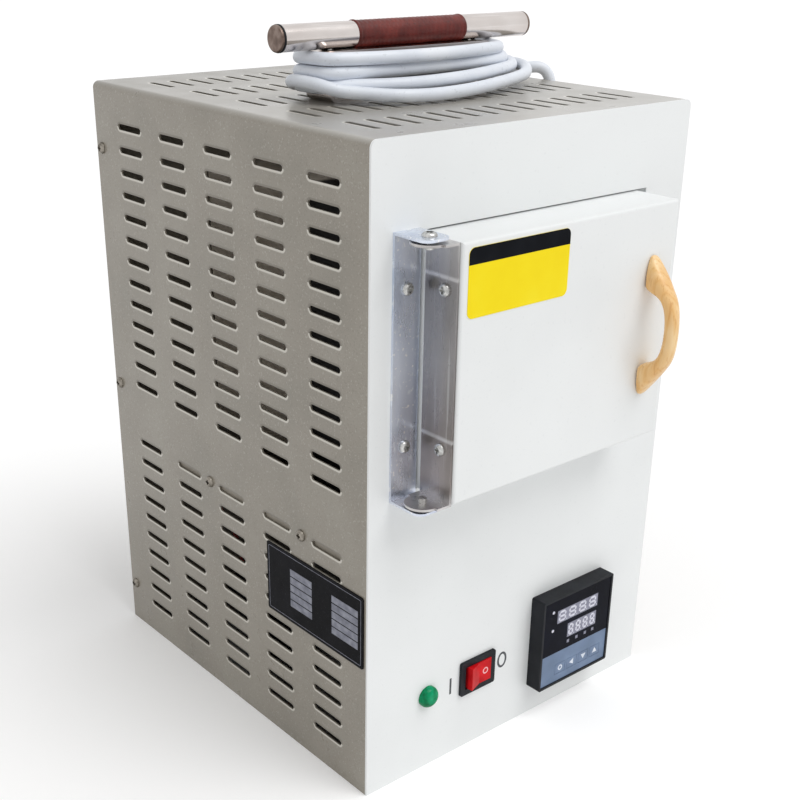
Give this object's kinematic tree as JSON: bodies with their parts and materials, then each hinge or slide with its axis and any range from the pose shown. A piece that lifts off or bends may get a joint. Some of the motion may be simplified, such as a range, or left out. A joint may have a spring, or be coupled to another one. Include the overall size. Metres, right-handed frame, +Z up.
{
  "type": "metal clay kiln",
  "caption": "Upright bench kiln for metal clay: side-hinged insulated door over a control bay, slotted sheet case, carrying handle on top with its power cord coiled round it.",
  "frame": {"origin": "centre of the case's footprint, on the surface it stands on", "axes": "+X right seen from the front, +Y from the front towards the back, +Z up"},
  "size_m": [0.2905, 0.4266, 0.466],
  "materials": {
    "shell_paint": "fine speckled beige-grey baked paint",
    "panel_paint": "smooth pale grey-white baked paint",
    "plain_steel": "plain zinc-plated sheet",
    "screw_steel": "plated steel",
    "hinge_steel": "satin stainless sheet",
    "probe_steel": "oxidised heat-resisting steel",
    "element_wire": "oxidised resistance wire",
    "fibre_board": "soft matt fibre board",
    "kiln_shelf": "fired refractory",
    "label_yellow": "printed film with a dark header band",
    "pull_wood": "light varnished wood",
    "handle_chrome": "bright plated",
    "grip_vinyl": "dark maroon grained cover",
    "plate_black": "satin black with blank pale cells",
    "control_black": "fine-grained moulded plastic",
    "display_dark": "smoked filter over unlit displays",
    "keypad_blue": "printed film",
    "rocker_red": "glossy moulded plastic",
    "terminal_brass": "bright",
    "lamp_green": "translucent green lens",
    "sink_aluminium": "extruded",
    "wire_sleeve": "insulated leads",
    "cord_pvc": "smooth pale grey flexible sheath"
  },
  "bodies": {
    "kiln": {"outer_shell": "shell_paint", "front_panel": "panel_paint", "back_panel": "shell_paint", "base_plate": "plain_steel", "partition_shelf": "plain_steel", "case_screws": "screw_steel", "furnace_rails": "plain_steel", "furnace_casing": "plain_steel", "insulation_left": "fibre_board", "insulation_right": "fibre_board", "insulation_top": "fibre_board", "insulation_bottom": "fibre_board", "insulation_rear": "fibre_board", "hearth_plate": "kiln_shelf", "mouth_frame": "plain_steel", "heating_elements": "element_wire", "element_beads": "kiln_shelf", "thermocouple": "probe_steel", "hinge_panel_leaf": "hinge_steel", "hinge_pivots": "screw_steel", "hinge_panel_screws": "screw_steel", "handle_bar": "handle_chrome", "handle_tube": "handle_chrome", "handle_grip": "grip_vinyl", "handle_caps": "handle_chrome", "handle_screws": "screw_steel", "rating_plate": "plate_black", "controller_bezel": "control_black", "controller_window": "display_dark", "controller_keypad": "keypad_blue", "controller_housing": "control_black", "controller_clamps": "control_black", "switch_frame": "control_black", "switch_tabs": "terminal_brass", "lamp_lens": "lamp_green", "lamp_body": "control_black", "relay_heat_sink": "sink_aluminium", "solid_state_relay": "control_black", "terminal_block": "control_black", "internal_wiring": "wire_sleeve", "cord_gland": "control_black", "power_cord_lead": "cord_pvc", "power_cord_coil": "cord_pvc", "power_cord_tail": "cord_pvc", "power_plug": "cord_pvc", "plug_pins": "terminal_brass"},
    "door": {"door_skin": "panel_paint", "door_insulation": "fibre_board", "door_inner_frame": "plain_steel", "door_label": "label_yellow", "hinge_door_leaf": "hinge_steel", "hinge_door_screws": "screw_steel", "door_pull": "pull_wood", "door_pull_screws": "screw_steel"},
    "rocker": {"switch_rocker": "rocker_red"},
    "key_set": {"key_set": "keypad_blue"},
    "key_shift": {"key_shift": "keypad_blue"},
    "key_down": {"key_down": "keypad_blue"},
    "key_up": {"key_up": "keypad_blue"}
  },
  "joints": [
    {"name": "door_hinge", "type": "hinge", "parent": "kiln", "child": "door", "pos_m": [-0.1075, -0.167, 0.2895], "axis": [0, 0, -1], "range_deg": [0, 140]},
    {"name": "rocker_tilt", "type": "hinge", "parent": "kiln", "child": "rocker", "pos_m": [-0.037, -0.1465, 0.056], "axis": [0, 0, -1], "range_deg": [0, 20]},
    {"name": "key_set_press", "type": "slide", "parent": "kiln", "child": "key_set", "axis": [0, 1, 0], "range_m": [0, 0.0006], "stiffness_N_per_m": 300},
    {"name": "key_shift_press", "type": "slide", "parent": "kiln", "child": "key_shift", "axis": [0, 1, 0], "range_m": [0, 0.0006], "stiffness_N_per_m": 300},
    {"name": "key_down_press", "type": "slide", "parent": "kiln", "child": "key_down", "axis": [0, 1, 0], "range_m": [0, 0.0006], "stiffness_N_per_m": 300},
    {"name": "key_up_press", "type": "slide", "parent": "kiln", "child": "key_up", "axis": [0, 1, 0], "range_m": [0, 0.0006], "stiffness_N_per_m": 300}
  ]
}
